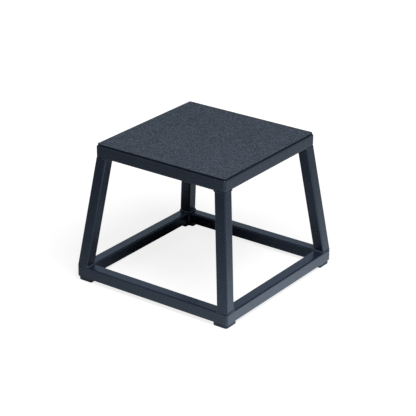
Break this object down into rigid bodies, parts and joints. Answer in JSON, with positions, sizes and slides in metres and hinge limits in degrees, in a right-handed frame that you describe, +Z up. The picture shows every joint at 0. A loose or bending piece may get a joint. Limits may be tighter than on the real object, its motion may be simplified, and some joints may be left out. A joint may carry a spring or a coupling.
{
  "type": "plyo box",
  "caption": "Open welded square-tube jump box with leaning legs, a grippy rubber-covered landing deck and rubber corner feet.",
  "frame": {"origin": "on the floor under the middle of the box, at the underside of the feet", "axes": "+Z up through the middle of the deck, -Y towards the front side, +X towards the right side"},
  "size_m": [0.386, 0.386, 0.3048],
  "materials": {
    "frame_paint": "satin dark blue-grey powder coat with a fine orange peel",
    "mat_rubber": "matt rubber with a coarse non-slip grain",
    "deck_ply": "bare birch plywood",
    "foot_rubber": "matt moulded rubber",
    "screw_steel": "zinc-plated"
  },
  "bodies": {
    "root": {"top_rail_front": "frame_paint", "top_rail_right": "frame_paint", "top_rail_back": "frame_paint", "top_rail_left": "frame_paint", "base_rail_front": "frame_paint", "base_rail_right": "frame_paint", "base_rail_back": "frame_paint", "base_rail_left": "frame_paint", "leg_front_left": "frame_paint", "leg_front_right": "frame_paint", "leg_back_right": "frame_paint", "leg_back_left": "frame_paint", "leg_base_welds": "frame_paint", "leg_top_welds": "frame_paint", "frame_corner_welds": "frame_paint", "gusset_welds": "frame_paint", "deck_gusset_front_left": "frame_paint", "deck_gusset_front_right": "frame_paint", "deck_gusset_back_right": "frame_paint", "deck_gusset_back_left": "frame_paint", "deck_board": "deck_ply", "deck_mat": "mat_rubber", "deck_screws": "screw_steel", "foot_front_left": "foot_rubber", "foot_front_right": "foot_rubber", "foot_back_right": "foot_rubber", "foot_back_left": "foot_rubber", "foot_screws": "screw_steel", "foot_washers": "screw_steel"}
  },
  "joints": []
}
